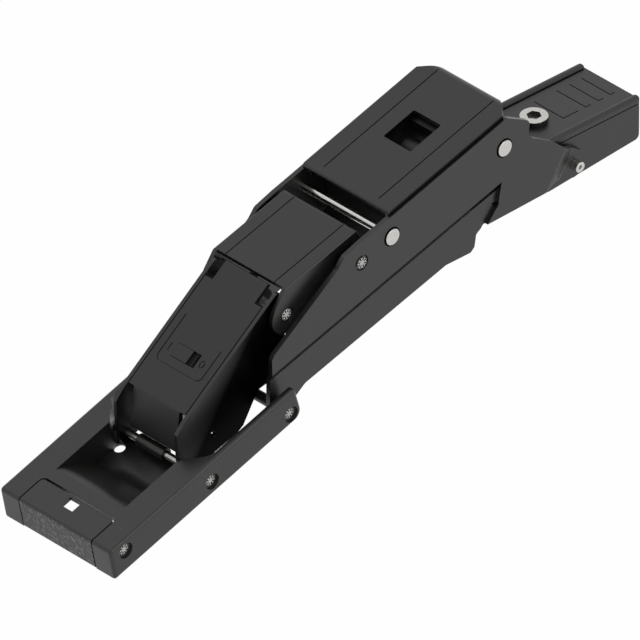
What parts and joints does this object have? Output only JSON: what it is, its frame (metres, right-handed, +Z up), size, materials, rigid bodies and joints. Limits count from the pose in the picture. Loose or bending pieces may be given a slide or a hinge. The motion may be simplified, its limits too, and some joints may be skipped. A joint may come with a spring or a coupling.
{
  "type": "soft-close cabinet hinge",
  "caption": "Black concealed cabinet hinge shown open: a door-side fork with a latch, a damper link, a bridge, a covered arm and a mounting block with a cam screw.",
  "frame": {"origin": "on the mounting block's base face, where the cam screw's axis meets it, in the middle of the hinge's width", "axes": "+X from the door end towards the cabinet end, +Y across the hinge towards its left side as seen from the door end, +Z up, away from the base"},
  "size_m": [0.2038, 0.042, 0.0769],
  "materials": {
    "black_cast": "satin black coated casting",
    "black_sheet": "satin black coated sheet",
    "black_plastic": "satin black moulded",
    "grained_latch": "grained black moulded",
    "bright_steel": "bright plated",
    "dark_steel": "dark plated"
  },
  "bodies": {
    "arm": {"mounting_block": "black_cast", "hook_pin_left": "bright_steel", "hook_pin_right": "bright_steel", "arm_plate_left": "black_sheet", "arm_plate_right": "black_sheet", "arm_cover": "black_sheet", "inner_carrier": "black_plastic", "front_rod": "bright_steel", "rear_rod": "bright_steel", "bridge_pin": "bright_steel", "bridge_washer_left": "dark_steel", "bridge_washer_right": "dark_steel", "closing_spring": "dark_steel", "pivot_tube": "dark_steel"},
    "screw": {"cam_screw": "bright_steel"},
    "door_side": {"door_housing": "black_cast", "pivot_pin": "bright_steel", "pivot_washer_left": "dark_steel", "pivot_washer_right": "dark_steel", "damper_pin": "bright_steel", "damper_sleeve": "dark_steel", "latch_pin": "bright_steel"},
    "latch": {"front_latch": "grained_latch"},
    "link": {"link_plate_left": "black_sheet", "link_plate_right": "black_sheet", "link_cover": "black_plastic", "damper_cylinder": "black_plastic"},
    "damper_piston": {"damper_rod": "dark_steel"},
    "switch": {"slider_switch": "black_plastic"},
    "bridge": {"bridge_plate": "black_sheet", "knuckle_pin": "bright_steel", "damper_cam": "dark_steel"}
  },
  "joints": [
    {"name": "door_swing", "type": "hinge", "parent": "arm", "child": "door_side", "pos_m": [-0.1097, 0, -0.0172], "axis": [0, 1, 0], "range_deg": [0, 95]},
    {"name": "link_swing", "type": "hinge", "parent": "door_side", "child": "link", "pos_m": [-0.1385, 0, -0.0248], "axis": [0, 1, 0], "range_deg": [-88.5, 0]},
    {"name": "bridge_swing", "type": "hinge", "parent": "arm", "child": "bridge", "pos_m": [-0.0801, 0, 0.015], "axis": [0, 1, 0], "range_deg": [0, 112.2]},
    {"name": "damper_push", "type": "slide", "parent": "link", "child": "damper_piston", "axis": [-0.8028, 0, -0.5962], "range_m": [0, 0.00265]},
    {"name": "switch_slide", "type": "slide", "parent": "link", "child": "switch", "axis": [0, -1, 0], "range_m": [0, 0.0029]},
    {"name": "latch_tilt", "type": "hinge", "parent": "door_side", "child": "latch", "pos_m": [-0.1699, 0, -0.0317], "axis": [0, 1, 0], "range_deg": [0, 6]},
    {"name": "cam_turn", "type": "hinge", "parent": "arm", "child": "screw", "pos_m": [0, 0, 0], "axis": [0, 0, 1], "range_deg": [-90, 90]}
  ],
  "couplings": [
    {"joint": "link_swing", "follows": "door_swing", "ratio": -0.93},
    {"joint": "bridge_swing", "follows": "door_swing", "ratio": 1.18},
    {"joint": "damper_push", "follows": "door_swing", "m_per_rad": 0.001592}
  ]
}
